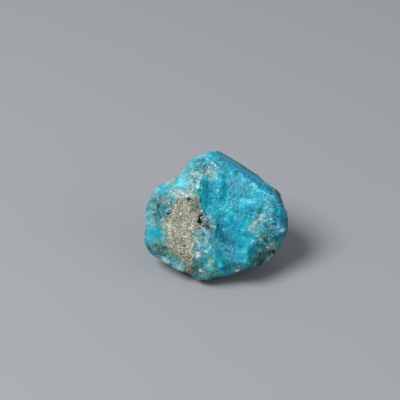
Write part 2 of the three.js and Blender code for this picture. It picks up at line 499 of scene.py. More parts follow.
# The weathered dark line along the bevel's far edge
rindLook = {
    "depth": 1.4,  # where it starts, measured out from the middle
    "widening": 0.2,  # mm for each mm to the right
    "share": 0.88,
}

# Smooth, waxy spots with few grains, on the show face: where, half length and half width, turn in degrees
waxySpots = {
    "middle": ((4.2, -2.8), (4.2, 3.2), -10),
    "column": ((6.1, -7.6), (1.6, 2.6), -6),
    "dark flute": ((-1.9, 5.4), (0.9, 3.2), 4),
    "second flute": ((2.1, 6.2), (0.8, 2.2), 8),
    "left blue": ((-12.7, -3.0), (1.7, 2.1), 0),
    "light blotch": ((7.0, 3.6), (2.2, 0.8), -3),
    "foot": ((1.6, -9.6), (1.6, 2.0), 0),
    "shoulder": ((-10.6, 6.1), (1.2, 0.9), 0),
    "bright facet": ((-6.8, 7.2), (1.6, 0.8), 0),
    "right edge": ((13.9, 0.3), (0.9, 2.2), 0),
    "lower blue": ((1.0, -7.6), (1.2, 1.4), 0),
    "lower left teal": ((-11.8, -4.9), (1.5, 1.0), 0),
    "crown's left": ((-4.4, 11.4), (1.2, 0.8), 0),
}

# Spots where flecks of matrix and dark specks are strewn through the blue:
# where, half length and half width, turn, share of light flecks, share of dark ones, colour of the light ones
mottledSpots = {
    "below the crown": ((-1.9, 10.6), (2.9, 1.5), 10, 0.22, 0.14, "#b4d0d2"),
    "ridge": ((-4.3, 8.0), (1.7, 2.6), -10, 0.36, 0.08, "#c8e2d8"),
    "over the matrix": ((-7.2, 5.2), (3.0, 1.1), -5, 0.3, 0.1, "#c0cec0"),
    "left": ((-11.0, 2.2), (2.4, 3.2), 10, 0.2, 0.13, "#a8b4a0"),
    "left edge of the matrix": ((-10.3, -2.0), (0.9, 2.8), 0, 0.4, 0.06, "#b8c4ac"),
    "lower left": ((-11.2, -6.4), (2.5, 1.5), -30, 0.2, 0.2, "#9aa88e"),
    "left of the foot": ((-7.4, -9.4), (2.6, 1.1), -28, 0.2, 0.1, "#b4c2ac"),
    "foot": ((-2.4, -11.4), (2.6, 0.9), -8, 0.22, 0.12, "#a4b4ac"),
    "round the vugs": ((-2.2, -1.2), (1.7, 2.2), 35, 0.3, 0.24, "#b0aca4"),
    "right of the matrix's foot": ((-2.4, -6.2), (1.5, 3.0), 8, 0.3, 0.08, "#a8c4c4"),
    "vein": ((9.0, -1.2), (1.6, 1.3), 30, 0.16, 0.06, "#bccab2"),
    "right": ((11.7, 0.2), (2.2, 3.4), 0, 0.13, 0.12, "#9cc0c4"),
    "lower right": ((10.4, -6.2), (3.8, 2.6), 30, 0.09, 0.2, "#8f9a84"),
    "lower edge": ((5.0, -10.6), (2.6, 0.8), 15, 0.3, 0.1, "#a4b09a"),
}

sheen = 0.012  # the white that the waxy surface reflects, taken off the painted colours

# Where the blue is greener under the patches: where, half length and half width, turn, colour, strength
greenerSpots = {
    "left side": ((-9.5, -1.0), (6.0, 9.5), 0, "#38a0aa", 0.8),
    "foot": ((-2.5, -10.0), (6.5, 3.0), 0, "#2f9696", 0.85),
}

# Patches on the show face, each over the ones before it:
# where, half length and half width, turn in degrees, colour, strength
patches = {
    # Broad washes, among them painted shade over the foot, along the lower edge and by the right rim
    "green wash at the lower left": ((-10.8, -6.6), (3.8, 2.0), -32, "#457a7a", 0.9),
    # Painted shade: the foot, the lower edge and the right rim are darkened as if they lay in shadow
    "painted shade over the foot": ((-1.6, -11.7), (4.6, 1.2), 4, "#3f7373", 0.85),
    "painted shade along the lower edge": ((6.6, -10.2), (4.4, 1.0), 22, "#2c5f68", 0.9),
    "painted shade by the right rim": ((15.1, -1.6), (0.5, 2.8), -6, "#184c58", 0.85),
    "light wash over the broad face": ((5.2, 7.0), (3.4, 1.6), -32, "#5cc4dc", 0.75),
    "deep wash in the middle": ((3.2, -3.4), (2.8, 1.9), -35, "#1a85a4", 0.8),
    "deep wash over the foot": ((2.6, -5.0), (1.8, 1.0), -5, "#2a7a95", 0.85),
    "deep wash right of the ridge": ((0.5, 3.4), (1.7, 3.2), 15, "#2a96b0", 0.6),
    "bevel": ((7.2, 8.8), (8.0, 0.75), -33.5, "#2f84a6", 0.75),
    "matrix corner": ((13.4, 5.6), (1.0, 0.5), -40, "#3e423a", 1.0),
    "matrix corner's foot": ((13.75, 4.6), (0.2, 0.5), 0, "#3f4a46", 0.9),
    "bright line below the bevel": ((7.9, 7.1), (3.9, 0.42), -34, "#66d2ee", 0.85),
    "bright end of the line": ((10.9, 5.7), (1.2, 0.5), -25, "#38a0be", 0.5),
    # The crown, the ridge, the left side and the lower left
    "crown tip": ((-1.6, 13.3), (0.9, 0.6), 0, "#78bcc6", 0.95),
    "crown's left": ((-3.9, 11.7), (1.5, 0.9), 30, "#5cbcc8", 0.8),
    "crown's bright spot": ((-4.6, 11.3), (0.4, 0.55), 0, "#70e0f0", 0.95),
    "crown's green": ((-2.1, 11.6), (0.9, 0.8), 0, "#2b8f98", 0.8),
    "left slope of the crown": ((-5.9, 9.4), (1.4, 0.6), 52, "#74c0ca", 0.8),
    "grey below the crown": ((-1.7, 10.1), (1.5, 0.9), 20, "#6a858e", 0.85),
    "dark below the crown": ((-2.2, 10.2), (0.5, 0.3), 0, "#4a6570", 0.8),
    "white below the crown": ((-0.1, 11.2), (0.3, 0.45), 0, "#bfe0e6", 0.9),
    "chalky patch": ((-0.3, 9.3), (1.0, 0.6), -40, "#b5cfc8", 0.85),
    "chalky patch's foot": ((0.2, 8.4), (0.5, 0.3), -20, "#9fd6d6", 0.85),
    "chalky ridge": ((-3.5, 9.1), (0.7, 0.55), -20, "#b3cdbd", 0.85),
    "pale ridge": ((-4.4, 8.3), (1.1, 2.2), 0, "#70a8a6", 0.8),
    "white edge of the ridge": ((-3.4, 7.2), (0.22, 0.9), 0, "#c2e6ee", 0.95),
    "cream edge of the ridge": ((-3.7, 6.5), (0.5, 0.45), 30, "#b6e0da", 0.9),
    "bright facet": ((-6.6, 7.2), (1.9, 1.0), -5, "#71dbe8", 0.95),
    "bright facet's top": ((-7.0, 8.3), (0.5, 0.7), -20, "#8cc0ca", 0.75),
    "tan by the shoulder": ((-9.0, 6.9), (0.5, 0.6), 0, "#6f9c92", 0.85),
    "blue by the shoulder": ((-8.1, 7.7), (0.6, 0.6), 0, "#3a94ae", 0.7),
    "shoulder": ((-10.5, 6.1), (1.3, 0.9), 15, "#38bcd8", 0.95),
    "shoulder's foot": ((-11.8, 5.3), (0.8, 0.8), 0, "#5aa6b4", 0.8),
    "pale band over the matrix": ((-7.6, 5.2), (2.1, 0.8), -5, "#a8c6c2", 0.85),
    "pale band's right": ((-4.9, 5.7), (1.0, 0.8), 0, "#86aaa6", 0.8),
    "grey left of the matrix": ((-10.2, 3.9), (1.4, 0.9), -10, "#6b8d8c", 0.85),
    "purple grey": ((-9.9, 3.8), (0.3, 0.3), 0, "#8a8796", 0.7),
    "dark crack": ((-11.9, 2.9), (1.0, 0.3), -60, "#3c5c5e", 0.85),
    "green between": ((-10.0, 2.3), (1.0, 1.1), 0, "#37898c", 0.85),
    "green edge": ((-13.6, 2.4), (0.7, 2.0), -12, "#7aa4a0", 0.85),
    "deep round patch": ((-12.0, 1.2), (1.3, 0.8), 0, "#4a9fb4", 0.8),
    "dark tip of the matrix": ((-9.6, 0.9), (0.7, 0.35), 0, "#46503f", 0.85),
    "teal under the round patch": ((-11.0, 0.6), (0.9, 0.8), 0, "#1f7f93", 0.8),
    "brown under the round patch": ((-12.3, -0.4), (0.5, 0.5), 0, "#56686b", 0.8),
    "pale under the round patch": ((-11.3, -0.9), (0.8, 0.5), 0, "#7eada4", 0.8),
    "left blue": ((-12.5, -3.0), (2.0, 2.2), 0, "#20a6bc", 0.95),
    "left bright blue": ((-13.7, -1.7), (0.5, 0.8), 0, "#4fc0de", 0.9),
    "left lower blue": ((-13.6, -4.9), (0.8, 1.0), -30, "#3c94a4", 0.8),
    "pale by the left blue": ((-10.6, -4.2), (0.4, 1.4), -5, "#5eaab0", 0.7),
    "grey teal": ((-12.0, -5.3), (1.2, 0.6), -20, "#5b9797", 0.5),
    "dark teal": ((-11.6, -6.6), (1.6, 0.7), -25, "#557f80", 0.9),
    "dark pit's rim": ((-10.1, -6.4), (0.6, 0.35), -20, "#3a5248", 0.85),
    "lower left pale": ((-10.35, -8.75), (0.9, 0.32), -50, "#b6bcb0", 0.9),
    "lower left green": ((-9.0, -7.6), (1.0, 0.7), -40, "#578d7d", 0.85),
    "lower left cyan": ((-8.3, -9.2), (0.6, 0.5), 0, "#52b0bc", 0.85),
    "lower left white": ((-7.35, -10.4), (0.35, 0.6), 0, "#a6d6d2", 0.9),
    "lower left pale teal": ((-6.5, -9.8), (0.7, 0.7), 0, "#80a898", 0.8),
    # Between the matrix and the foot
    "teal in the matrix": ((-3.9, -3.6), (0.65, 0.6), 0, "#35818e", 0.95),
    "green below it": ((-3.2, -4.6), (0.8, 0.7), 0, "#79a89c", 0.85),
    "cyan below it": ((-3.3, -5.8), (0.7, 0.8), 0, "#38a0ba", 0.95),
    "white pebble": ((-3.5, -7.8), (0.65, 0.6), 20, "#cfcbc4", 1.0),
    "speckled band": ((-2.3, -6.9), (0.7, 0.9), 0, "#4f8c92", 0.85),
    "grey by the vug": ((-3.0, -2.9), (1.0, 0.8), -20, "#8c9590", 0.8),
    "pink white by the vug": ((-2.5, -1.6), (0.55, 0.32), -10, "#cfc9c6", 0.95),
    "grey right of the vug": ((-1.9, 0.2), (0.7, 0.7), 30, "#74858a", 0.8),
    "lavender streak": ((-1.3, -4.2), (1.6, 0.42), 58, "#7c9c9e", 0.9),
    "lavender streak's top": ((-1.0, -2.7), (0.8, 0.5), 20, "#769aa4", 0.8),
    "brown by the slit": ((-0.3, -1.3), (0.7, 0.6), -20, "#7f8673", 0.9),
    "cream by the slit": ((0.3, -1.7), (0.4, 0.35), 0, "#8fb5a4", 0.8),
    "blue over the foot": ((-2.6, -9.3), (1.1, 0.7), 10, "#1f7692", 0.85),
    "yellow spot": ((-0.9, -9.0), (0.8, 0.5), 15, "#95b48b", 0.9),
    "cyan over the foot": ((-1.2, -10.1), (0.8, 0.5), 0, "#3aa0bc", 0.7),
    "foot's lavender": ((-2.4, -11.2), (1.0, 0.32), -50, "#8b979c", 0.9),
    "foot's green": ((-3.8, -11.9), (0.9, 0.7), 0, "#36625d", 0.8),
    "foot's right": ((-0.8, -12.0), (1.6, 0.6), 5, "#4a8584", 0.7),
    "foot's far right": ((3.4, -11.2), (2.6, 0.6), 14, "#2c8399", 0.6),
    # The flutes, the broad face and the right side
    "dark flute": ((-2.0, 5.6), (1.0, 3.0), 4, "#0a7e94", 0.95),
    "dark flute's core": ((-1.5, 6.2), (0.3, 2.0), 0, "#086580", 0.85),
    "flute's green foot": ((-3.2, 5.6), (0.5, 0.35), 0, "#2aa0a6", 0.9),
    "flute's lower end": ((-2.0, 3.0), (0.6, 1.0), 15, "#157f9c", 0.85),
    "bright flute": ((0.8, 6.0), (0.35, 2.2), -3, "#38b0d0", 0.8),
    "bright flute by the ridge": ((-0.8, 4.6), (0.35, 2.6), 5, "#2b92b0", 0.6),
    "second dark flute": ((2.1, 6.4), (0.6, 1.6), 8, "#067f94", 0.85),
    "second flute's foot": ((1.6, 4.4), (0.6, 1.2), 8, "#0f7c9e", 0.8),
    "upper spot": ((2.4, 8.9), (0.8, 0.6), 0, "#2f7f9e", 0.75),
    "pale by the bevel": ((1.5, 10.9), (0.6, 0.8), 0, "#5aa5b2", 0.85),
    "grey blue slope": ((3.7, 7.6), (1.2, 1.4), 0, "#549fba", 0.6),
    "teal slope": ((4.4, 9.2), (1.0, 0.5), -30, "#2aa0ae", 0.8),
    "pink spot": ((5.7, 6.6), (0.5, 0.45), 0, "#6f93a6", 0.8),
    "light blotch": ((6.8, 3.7), (1.9, 0.6), -3, "#6ed4ec", 0.9),
    "grey spot": ((4.0, 3.1), (0.6, 0.8), 0, "#5591a8", 0.75),
    "deep under the blotch": ((8.0, 1.8), (1.8, 0.8), -10, "#2a8caa", 0.7),
    "olive above the vein": ((9.3, 1.5), (0.35, 1.0), 0, "#3c7a6c", 0.8),
    "vein's upper end": ((9.9, 0.3), (0.4, 0.55), 30, "#d3dcc4", 0.95),
    "vein": ((9.1, -0.5), (0.95, 0.28), 35, "#c6d3b8", 0.95),
    "vein's patch": ((7.9, -1.8), (0.8, 0.55), 30, "#9fbcae", 0.9),
    "vein's patch's foot": ((9.2, -2.9), (0.6, 0.5), -30, "#6b9a86", 0.8),
    "mottled right": ((11.3, 2.0), (1.2, 2.2), 0, "#4ba0b8", 0.6),
    "white streak": ((11.7, 2.3), (0.2, 0.9), 0, "#9fcfe0", 0.8),
    "pale by the corner": ((11.9, 4.4), (0.8, 0.45), -25, "#66c4cc", 0.8),
    "right edge": ((14.3, 0.7), (0.6, 1.6), -12, "#0d6485", 0.85),
    "right teal": ((12.9, 0.6), (0.8, 0.9), 0, "#188292", 0.7),
    "right pale": ((10.9, -0.5), (1.1, 0.9), 0, "#69a5b0", 0.7),
    "right deep": ((12.0, -2.6), (1.4, 0.9), 0, "#1f7a9c", 0.75),
    "lavender right": ((12.7, -1.8), (0.8, 0.35), 0, "#7fa9c6", 0.85),
    "white by the right edge": ((14.3, -2.6), (0.5, 0.32), 25, "#9fcdd6", 0.9),
    "right edge's foot": ((14.3, -3.6), (0.5, 0.8), -20, "#2a6068", 0.85),
    "blue by the right edge's foot": ((13.4, -4.1), (0.7, 0.6), 0, "#14658c", 0.8),
    # The middle and the lower edge
    "bright middle": ((4.2, -1.4), (2.6, 2.2), -30, "#28acd0", 0.7),
    "bright spot": ((2.3, -0.2), (0.8, 0.5), 0, "#4ab8dc", 0.8),
    "bright streak": ((4.3, -3.0), (1.2, 0.4), 10, "#2aa2b8", 0.8),
    "deep hollow": ((1.2, -2.4), (0.9, 1.9), 5, "#13718f", 0.9),
    "deep hollow's foot": ((2.8, -4.3), (1.3, 0.7), -10, "#0d7595", 0.85),
    "speckled lower left": ((0.5, -5.7), (0.9, 1.1), 0, "#58a4b4", 0.7),
    "lower middle": ((6.3, -5.4), (1.7, 1.0), -10, "#1d98b8", 0.8),
    "light column": ((6.2, -7.6), (0.8, 1.6), -6, "#3fb4ca", 0.9),
    "column's left": ((3.5, -6.4), (1.4, 0.9), 0, "#4a92a8", 0.7),
    "pale below the dip": ((3.8, -8.2), (1.5, 0.8), -10, "#4c9cb8", 0.8),
    "deep lower blue": ((1.0, -7.7), (0.7, 1.1), 0, "#0f799e", 0.85),
    "lower teal": ((1.7, -10.4), (0.8, 1.0), -15, "#0f8ea2", 0.8),
    "lower bright": ((1.2, -9.6), (0.5, 0.7), 0, "#35a6cc", 0.8),
    "purple crack": ((4.2, -9.9), (0.4, 0.7), 20, "#304a66", 0.85),
    "white at the foot": ((4.8, -11.05), (0.35, 0.25), 20, "#c3cfc0", 0.95),
    "white spot": ((8.0, -4.85), (0.32, 0.25), -10, "#c9ebe0", 1.0),
    "olive mottling": ((10.4, -4.0), (1.0, 0.8), -30, "#4a6a5c", 0.9),
    # The dark lower right
    "dark lower right": ((10.4, -7.0), (3.2, 1.9), 32, "#2c6068", 0.9),
    "darkest": ((9.2, -7.9), (1.5, 0.9), 20, "#1e4148", 0.8),
    "blue in the dark": ((10.0, -5.6), (1.0, 0.6), 0, "#1f6475", 0.8),
    "teal at the dark's end": ((13.3, -5.6), (0.6, 0.8), 0, "#246a6c", 0.8),
    "brown in the dark": ((12.0, -6.6), (1.0, 0.6), 30, "#706a64", 0.9),
    "black in the dark": ((12.4, -7.2), (0.5, 0.3), 30, "#2c2a26", 0.9),
    "grey in the dark": ((8.5, -8.4), (0.4, 0.8), 0, "#56686a", 0.7),
    "olive rim": ((11.6, -8.4), (1.6, 0.3), 28, "#6f7a5c", 0.8),
    "light speck in the dark": ((8.7, -9.65), (0.25, 0.25), 0, "#9ac0b8", 0.8),
    # Smaller touches, painted glints and dark spots
    "tan by the shoulder notch": ((-9.3, 7.6), (1.1, 0.8), 20, "#b8d2c6", 0.95),
    "tan at the left rim": ((-13.2, -0.5), (0.9, 0.55), 0, "#8fada6", 0.9),
    "teal by the green rim": ((-13.9, -0.9), (0.35, 0.7), 0, "#5cc4cc", 0.8),
    "pale green by the teal": ((-3.8, -4.7), (0.85, 0.6), -20, "#d4e6d0", 0.95),
    # Painted shade: the lower left rim is darkened as if it lay in shadow
    "lower left rim": ((-13.2, -6.9), (1.2, 0.7), -48, "#30686e", 0.8),
    "lavender at the lower left": ((-11.1, -7.6), (0.6, 0.5), -20, "#557f96", 0.8),
    "shoulder's rim": ((-12.6, 5.7), (0.9, 0.5), 40, "#a0c0c2", 0.85),
    "pale over the matrix's top": ((-5.7, 4.9), (1.1, 0.5), 10, "#bccabe", 0.95),
    "grey below the slit": ((-0.7, -2.5), (0.8, 0.5), 20, "#587a80", 0.85),
    "pale crown top": ((-2.9, 12.8), (0.8, 0.5), 20, "#8cd0d8", 0.85),
    "teal by the right rim": ((13.2, -0.3), (1.0, 0.8), 0, "#0f7a90", 0.9),
    "chalk on the ridge": ((-3.3, 9.0), (0.6, 0.4), -20, "#b4d6cc", 0.85),
    "dark green by the foot": ((-3.9, -9.3), (0.8, 0.9), 10, "#6a8a80", 0.7),
    "blue between the vein and the edge": ((10.4, -1.9), (0.9, 0.7), 20, "#1f7a90", 0.95),
    "tan above the brown": ((11.8, -5.9), (1.3, 0.6), 30, "#7c9690", 0.85),
    "cyan on the ridge": ((-2.9, 7.9), (0.6, 0.8), 0, "#6adcec", 0.95),
    "pale lower left rim": ((-7.7, -10.5), (1.0, 0.35), -25, "#92b8ae", 0.85),
    "bright hollow": ((3.3, -1.9), (1.4, 0.8), -10, "#1890b2", 0.8),
    "green right of the streak": ((-0.2, -4.2), (0.7, 1.0), 10, "#46808a", 0.85),
    "dark below the crown's white": ((-1.5, 10.8), (0.9, 0.45), 10, "#3d7682", 0.85),
    "light green over the foot": ((-1.2, -9.8), (0.8, 0.35), 10, "#84bcae", 0.85),
    "blue left of the ridge's foot": ((-2.6, 2.3), (0.55, 0.9), 12, "#62d8ea", 0.95),
    "grey left of the pebble": ((-4.0, -6.8), (0.4, 0.9), 0, "#7c978c", 0.85),
    "teal right of the crown": ((0.6, 11.3), (0.9, 0.5), -30, "#2a8aa2", 0.9),
    "left rim": ((-14.3, -3.6), (0.35, 1.6), 0, "#749ea4", 0.85),
    # Painted shade: the foot's rim is darkened as if it lay in shadow
    "painted shade on the foot's rim": ((-0.6, -12.4), (1.6, 0.35), 5, "#36605f", 0.85),
    "brown by the vugs": ((-2.1, -1.1), (0.5, 0.35), 20, "#7b8480", 0.8),
    "pale top of the flute": ((-0.6, 8.4), (0.8, 0.4), -20, "#86bcc0", 0.85),
    "teal right of the middle": ((7.0, -3.4), (1.4, 0.7), -10, "#2a86a0", 0.8),
    "teal of the column's right": ((7.9, -6.6), (0.9, 1.5), -8, "#12a0b8", 0.95),
    "pale left of the matrix": ((-9.5, -2.2), (0.5, 1.2), 0, "#ccd6c2", 0.8),
    "bevel's right end": ((11.9, 6.1), (1.2, 0.4), -33, "#2b7086", 0.8),
    "grey on the crown's left slope": ((-6.0, 10.3), (0.9, 0.35), 50, "#8ab8ba", 0.85),
    "blue above the dark": ((9.9, -5.7), (0.9, 0.5), 20, "#1f8498", 0.95),
    "teal at the left of the matrix": ((-9.2, 2.1), (0.6, 0.7), 0, "#2f6a68", 0.9),
    "pale by the left crack": ((-10.1, 3.3), (0.8, 0.4), 0, "#8ab4b0", 0.85),
    "light teal of the left": ((-12.0, -4.8), (1.3, 0.7), -10, "#52c4cc", 0.95),
    "light by the hollow": ((1.7, 0.2), (0.7, 0.6), 0, "#48b4ce", 0.85),
    "light right of the flute": ((3.9, 7.7), (1.0, 0.7), -20, "#58b4cb", 0.7),
    "grey left of the streak": ((-2.3, -3.9), (0.6, 0.6), 0, "#6f908e", 0.85),
    # Painted shade: the rim at the lower right is darkened as if it lay in shadow
    "painted shade on the rim at the lower right": ((9.6, -9.4), (1.2, 0.5), 30, "#2a3430", 0.95),
    "green above the pebble": ((-3.3, -6.6), (0.6, 0.5), 0, "#3f7a7c", 0.9),
    "light at the left blue's top": ((-12.7, -1.8), (0.7, 0.6), 0, "#74d0dd", 0.9),
    "pale at the matrix's right": ((-5.1, -5.0), (0.9, 0.7), 0, "#c4cdbc", 0.95),
    "teal at the column's foot": ((6.6, -9.9), (0.9, 0.6), 20, "#228894", 0.9),
    "light above the middle": ((5.1, 0.2), (1.0, 0.8), 0, "#48b2cc", 0.7),
    "teal below the shoulder": ((-10.6, 5.1), (0.7, 0.45), 0, "#3cb8c6", 0.9),
    "pale below the vein": ((8.4, -2.6), (0.6, 0.4), 20, "#86b2aa", 0.8),
    "deep left of the blotch": ((2.0, 2.2), (1.0, 1.0), 0, "#369cb8", 0.6),
    "pale by the vug at the matrix's top": ((-5.0, 4.7), (0.8, 0.45), 0, "#c8dcd0", 0.9),
    "deep right of the flutes": ((3.7, 4.7), (0.9, 1.0), 0, "#2b98b4", 0.8),
    "teal at the matrix's left tip": ((-10.3, 0.3), (0.6, 0.5), 0, "#3f7d7c", 0.85),
    "dull matrix": ((-7.4, -3.0), (1.6, 2.0), 0, "#8f8e80", 0.5),
    "dark by the corner": ((13.5, 4.9), (0.7, 0.6), 0, "#3a5a60", 0.9),
    "deep at the right's foot": ((12.4, -3.9), (0.8, 0.5), 0, "#124854", 0.95),
    "teal right of the crown's tip": ((1.5, 12.3), (0.8, 0.4), -30, "#2a8098", 0.85),
    "tan by the matrix's foot": ((-9.2, -6.9), (0.6, 0.5), 0, "#8c9a84", 0.8),
    "pale at the left": ((-11.5, 3.5), (0.7, 0.5), 0, "#8aaaa4", 0.85),
    "pale teal at the lower left": ((-11.4, -7.0), (0.8, 0.5), -30, "#6f9492", 0.8),
    "grey in the lower streak": ((-1.6, -5.4), (0.6, 0.6), 0, "#86a6a8", 0.8),
    "grey above the slit": ((-0.5, 0.1), (0.6, 0.5), 0, "#57868c", 0.7),
    "deep by the column": ((8.7, -6.8), (0.6, 0.6), 0, "#145868", 0.85),
    "vug's foot": ((-2.95, -0.9), (0.4, 0.35), 0, "#4a4c46", 0.85),
    "cyan at the ridge's edge": ((-3.0, 6.9), (0.32, 0.7), 0, "#7ce0ee", 0.8),
    "teal at the ridge's edge": ((-3.4, 4.9), (0.55, 0.8), 0, "#44c8c8", 0.9),
    "teal right of the column": ((8.4, -6.2), (0.7, 0.6), 0, "#04a0b4", 0.95),
    "light by the hollow's top": ((1.3, -0.8), (0.7, 0.6), 0, "#3ca4bc", 0.8),
    "deep left of the vein": ((6.4, -1.8), (0.8, 0.6), 0, "#2c98ae", 0.7),
    "pale in the left's grey": ((-10.6, 2.8), (0.6, 0.5), 0, "#7ab8b8", 0.7),
    "grey between the vugs": ((-1.4, -0.8), (0.5, 0.4), 0, "#8a9a9a", 0.8),
    "blue of the broad face": ((6.0, 7.5), (0.8, 0.5), -32, "#3cb4cc", 0.7),
    "pale on the matrix's top": ((-5.8, 4.4), (0.6, 0.4), 0, "#b4c4ba", 0.7),
    "deep right of the vein": ((9.7, -1.2), (0.6, 0.5), 0, "#34889a", 0.85),
    "grey by the lavender": ((-2.8, -3.3), (0.6, 0.5), 0, "#7e8f86", 0.7),
    "pale by the ochre": ((-5.4, -7.5), (0.8, 0.6), 0, "#b0b49a", 0.6),
    "light below the corner": ((10.8, 3.9), (0.8, 0.6), 0, "#56c4dc", 0.7),
    "blue below the bevel's end": ((10.0, 6.2), (0.9, 0.4), -34, "#2a9cb8", 0.7),
    "teal by the matrix's tip": ((-10.6, 0.1), (0.8, 0.6), 0, "#187c84", 0.8),
    "green by the matrix's top left": ((-9.1, 1.8), (0.6, 0.5), 0, "#42827c", 0.85),
    "teal over the pale band": ((-5.4, 5.6), (0.8, 0.5), 0, "#7cb8ba", 0.7),
    "blue below the shoulder": ((-9.6, 5.1), (0.6, 0.5), 0, "#4cb0be", 0.7),
    "grey right of the crown's foot": ((-1.8, 9.1), (0.6, 0.5), 0, "#8a9ea2", 0.7),
    "pale at the foot's left rim": ((-6.6, -10.6), (0.5, 0.4), 0, "#94aa96", 0.7),
    "pale right of the matrix": ((-4.1, -5.1), (0.5, 0.5), 0, "#a8c8bc", 0.6),
    "dark over the foot's lavender": ((-2.8, -10.0), (0.6, 0.5), 0, "#3c6260", 0.7),
    "blue in the right's foot": ((13.1, -3.0), (0.6, 0.5), 0, "#3f98ac", 0.7),
    "cyan on the crown's left": ((-3.9, 11.0), (0.6, 0.5), 0, "#50c4d2", 0.7),
    "teal in the speckled band": ((-1.8, -6.8), (0.6, 0.6), 0, "#4f9298", 0.6),
    "pale at the shoulder's foot": ((-12.7, 4.9), (0.6, 0.5), 0, "#90b4b4", 0.6),
    "grey below the crown's white": ((0.3, 10.6), (0.5, 0.5), 0, "#5c96a4", 0.6),
    "pale left of the top vug": ((-6.8, 3.9), (0.7, 0.4), 0, "#bcd2c2", 0.7),
    "pale in the matrix's lower right": ((-5.4, -5.5), (0.6, 0.6), 0, "#bfc4b0", 0.6),
    "green by the vug": ((-3.6, 0.5), (0.4, 0.5), 0, "#a0b8ae", 0.85),
    "grey at the left rim": ((-14.2, -3.3), (0.4, 0.6), 0, "#5c8c90", 0.9),
    "olive at the foot": ((-3.9, -11.2), (0.5, 0.5), 0, "#46544a", 0.7),
    "teal below the right teal": ((12.5, -1.2), (0.6, 0.5), 0, "#1e8094", 0.7),
    "blue by the upper spot": ((2.8, 8.6), (0.7, 0.5), 0, "#3a8ca8", 0.7),
    "teal left of the ridge's foot": ((-2.6, 2.4), (0.4, 0.6), 0, "#3cd0dc", 0.95),
    "second dull matrix": ((-7.5, -4.3), (0.9, 0.7), 0, "#84857a", 0.5),
    "pale by the dark pit": ((-10.4, -5.6), (0.5, 0.4), 0, "#80a8a0", 0.7),
    "olive by the ochre": ((-7.2, -8.5), (0.6, 0.4), 0, "#84906e", 0.6),
    "grey by the shoulder notch": ((-8.5, 6.8), (0.5, 0.4), 0, "#90b4b2", 0.6),
    "teal on the pale ridge": ((-4.5, 9.6), (0.5, 0.4), 0, "#4aa4a8", 0.8),
    "teal in the crown": ((-2.4, 11.2), (0.8, 0.6), 0, "#1a949e", 0.85),
    "deep by the white spot": ((7.4, -4.4), (0.6, 0.5), 0, "#36909f", 0.5),
    "teal at the lower edge": ((6.4, -10.2), (0.6, 0.4), 0, "#1a8090", 0.7),
    "pale under the top vug": ((-5.1, 4.4), (0.5, 0.35), 0, "#a4ccba", 0.8),
    "light by the crown's foot": ((2.0, 10.8), (0.6, 0.4), 0, "#54bace", 0.6),
    "blue right of the flutes": ((4.5, 4.3), (0.8, 0.6), 0, "#2a94b0", 0.6),
    "blue by the bright line's end": ((10.8, 5.6), (0.8, 0.4), -30, "#2a98b6", 0.6),
    "pale over the left blue": ((-12.9, -1.2), (0.6, 0.5), 0, "#80bcc2", 0.6),
    "deep over the brown": ((12.3, -4.5), (0.6, 0.5), 0, "#204c56", 0.7),
    "teal in the dark": ((10.4, -6.2), (0.6, 0.5), 0, "#237886", 0.7),
    "pale at the matrix's lower left": ((-9.1, -5.4), (0.6, 0.6), 0, "#b0b4a0", 0.6),
    "blue in the round patch": ((-12.1, 0.9), (0.6, 0.5), 0, "#4cb0c4", 0.7),
    "teal in the dark teal": ((-11.9, -6.0), (0.7, 0.5), 0, "#5a9c9c", 0.6),
    "light on the crown": ((-3.0, 12.7), (0.6, 0.5), 0, "#74ccd8", 0.6),
    "teal below the olive": ((10.6, -3.3), (0.6, 0.5), 0, "#4aa0aa", 0.6),
    "deep by the corner's foot": ((12.5, 5.4), (0.7, 0.4), 0, "#346c7c", 0.7),
    "third dull matrix": ((-7.0, -5.4), (0.8, 0.7), 0, "#88887a", 0.5),
    "light matrix": ((-7.0, 0.9), (0.8, 0.7), 0, "#b4b8a2", 0.5),
    # Painted glints: small white highlights painted into the colour, where the stone catches the light
    "painted glint in the matrix's foot": ((-5.0, -6.75), (0.32, 0.3), 0, "#fbfbf2", 1.0),
    "painted glint by the teal": ((-4.05, -2.85), (0.25, 0.2), 0, "#f4faf4", 1.0),
    "painted glint in the matrix": ((-6.3, -2.35), (0.28, 0.28), 0, "#f2f2e6", 1.0),
    "second painted glint in the matrix": ((-6.4, -3.8), (0.25, 0.22), 0, "#ecece0", 1.0),
    "painted glint at the matrix's left": ((-9.2, -0.8), (0.2, 0.35), 20, "#eef2e4", 0.95),
    "painted glint right of the slit": ((-1.95, -2.45), (0.22, 0.3), -20, "#dff4f6", 1.0),
    "painted glint on the lower streak": ((-0.8, -6.35), (0.22, 0.4), -20, "#c9f2f6", 0.95),
    "teal over the foot": ((-0.9, -10.7), (1.0, 0.5), 0, "#5cb2b2", 0.85),
    "pale by the left blue's top": ((-11.3, -1.5), (0.9, 0.5), -10, "#84bab4", 0.85),
    "light at the right of the broad face": ((11.6, 2.0), (0.9, 1.2), 0, "#6cc8de", 0.9),
    "deep right of the foot": ((2.7, -10.9), (1.0, 1.2), 10, "#1a6a7c", 0.8),
    # More painted glints: small white highlights painted into the colour
    "painted glint by the slit": ((-2.7, -2.0), (0.22, 0.22), 0, "#e4ece8", 1.0),
    "painted glint in the round patch": ((-12.8, 1.35), (0.25, 0.22), 0, "#c4f2fc", 1.0),
    "painted glint on the ridge's edge": ((-3.3, 6.6), (0.2, 0.24), 0, "#d8ffff", 1.0),
    "painted glint over the brown": ((11.2, -6.2), (0.25, 0.2), 0, "#a4d4da", 1.0),
    "painted glint at the foot's lavender": ((-2.9, -11.1), (0.3, 0.22), -40, "#c0d0d2", 1.0),
    "painted glint by the bevel": ((8.2, 7.1), (0.22, 0.16), -30, "#acf2ff", 1.0),
    "painted glint at the lower left": ((-9.6, -9.2), (0.25, 0.22), 0, "#b4ccc8", 1.0),
